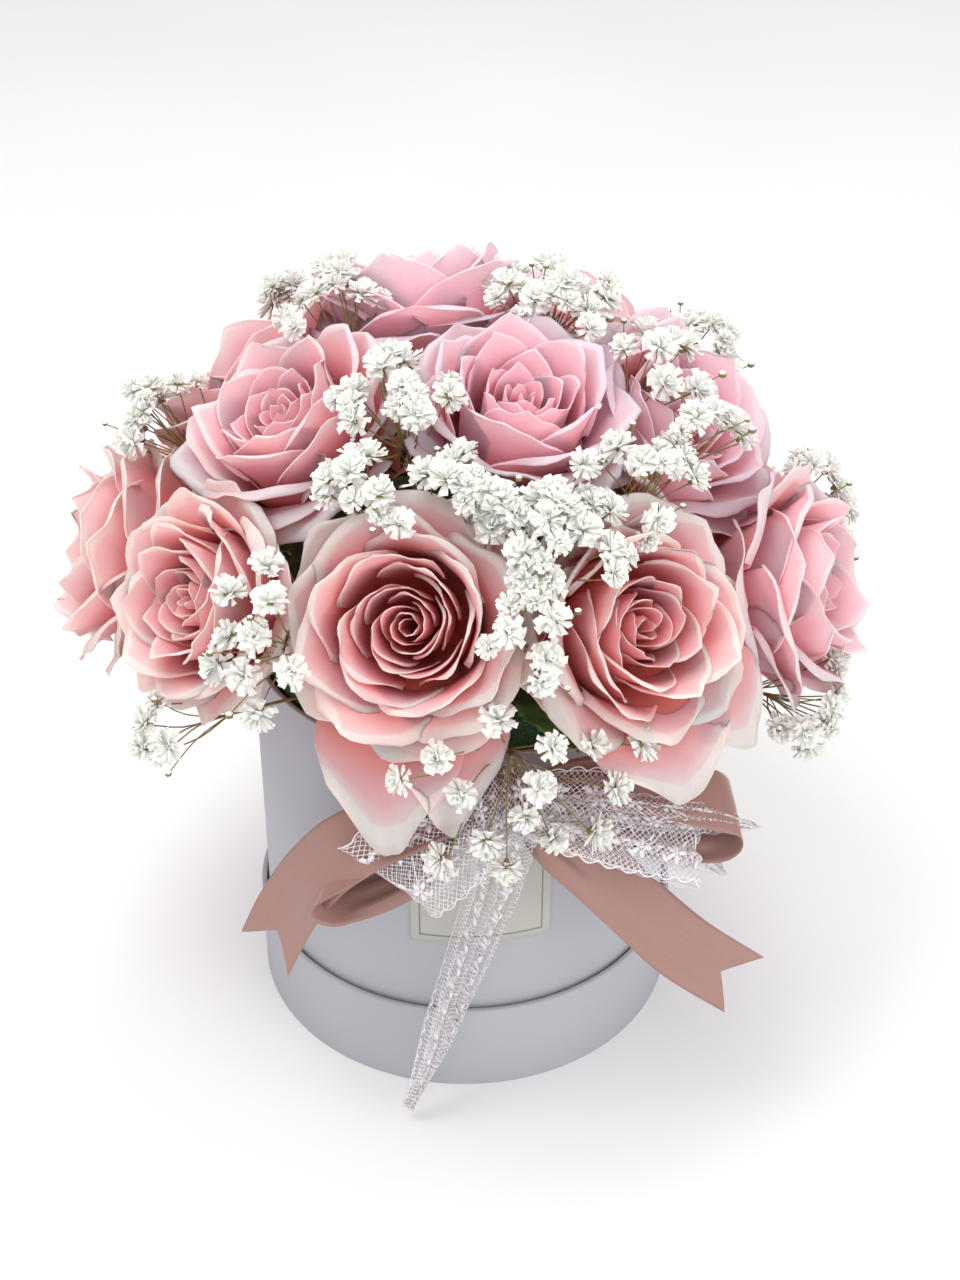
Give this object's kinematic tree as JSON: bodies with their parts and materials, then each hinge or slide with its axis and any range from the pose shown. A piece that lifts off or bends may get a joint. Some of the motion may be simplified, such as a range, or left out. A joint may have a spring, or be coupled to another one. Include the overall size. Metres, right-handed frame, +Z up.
{
  "type": "flower box",
  "caption": "Round paper-covered gift box standing in its upturned lid, with a rose dome on floral foam, sprigs of baby's breath and a satin and lace bow.",
  "frame": {"origin": "middle of the lid's outer face, on the table", "axes": "+Z up along the box's axis; the front with the label and the bow faces -Y; +X is to the right of someone facing the front"},
  "size_m": [0.2867, 0.2759, 0.3077],
  "materials": {
    "rose_petal": "soft petal",
    "stem_green": "waxy",
    "babys_breath": "soft petal",
    "satin": "satin weave",
    "lace": "open lace",
    "box_paper": "smooth matt paper",
    "board": "greyboard",
    "label": "uncoated card",
    "glue": "clear hot glue",
    "liner": "clear film",
    "foam": "open-cell floral foam, soaked"
  },
  "bodies": {
    "tray": {"lid_panel": "board", "lid_band": "board", "lid_wrap": "box_paper"},
    "box": {"bow_glue": "glue", "box_base": "board", "box_tube": "board", "box_wrap": "box_paper", "label_card": "label", "lace_loop_left": "lace", "lace_loop_right": "lace", "lace_tail_front": "lace", "lace_tail_lower": "lace", "lace_tail_upper": "lace", "satin_knot": "satin", "satin_loop_left": "satin", "satin_loop_right": "satin", "satin_tail_left": "satin", "satin_tail_right": "satin"},
    "arrangement": {"babys_breath_back": "babys_breath", "babys_breath_back_left": "babys_breath", "babys_breath_centre": "babys_breath", "babys_breath_centre_far_left": "babys_breath", "babys_breath_centre_far_right": "babys_breath", "babys_breath_centre_left": "babys_breath", "babys_breath_centre_low": "babys_breath", "babys_breath_centre_right": "babys_breath", "babys_breath_far_left": "babys_breath", "babys_breath_far_right": "babys_breath", "babys_breath_front": "babys_breath", "babys_breath_left": "babys_breath", "babys_breath_low_back": "babys_breath", "babys_breath_low_left": "babys_breath", "babys_breath_low_right": "babys_breath", "babys_breath_right": "babys_breath", "babys_breath_top_left": "babys_breath", "babys_breath_top_right": "babys_breath", "babys_breath_upper_left": "babys_breath", "babys_breath_upper_right": "babys_breath", "floral_foam": "foam", "foam_liner": "liner", "rose_back_left": "rose_petal", "rose_back_right": "rose_petal", "rose_far_left": "rose_petal", "rose_front_left": "rose_petal", "rose_front_right": "rose_petal", "rose_hips": "stem_green", "rose_left": "rose_petal", "rose_low_back": "rose_petal", "rose_low_back_left": "rose_petal", "rose_low_back_right": "rose_petal", "rose_low_left": "rose_petal", "rose_low_right": "rose_petal", "rose_right": "rose_petal", "rose_stems": "stem_green", "rose_top": "rose_petal", "rose_top_back": "rose_petal", "rose_upper_left": "rose_petal", "rose_upper_right": "rose_petal"}
  },
  "joints": [
    {"name": "box_lift", "type": "slide", "parent": "tray", "child": "box", "axis": [0, 0, 1], "range_m": [0, 0.06]},
    {"name": "arrangement_lift", "type": "slide", "parent": "box", "child": "arrangement", "axis": [0, 0, 1], "range_m": [0, 0.18]}
  ]
}
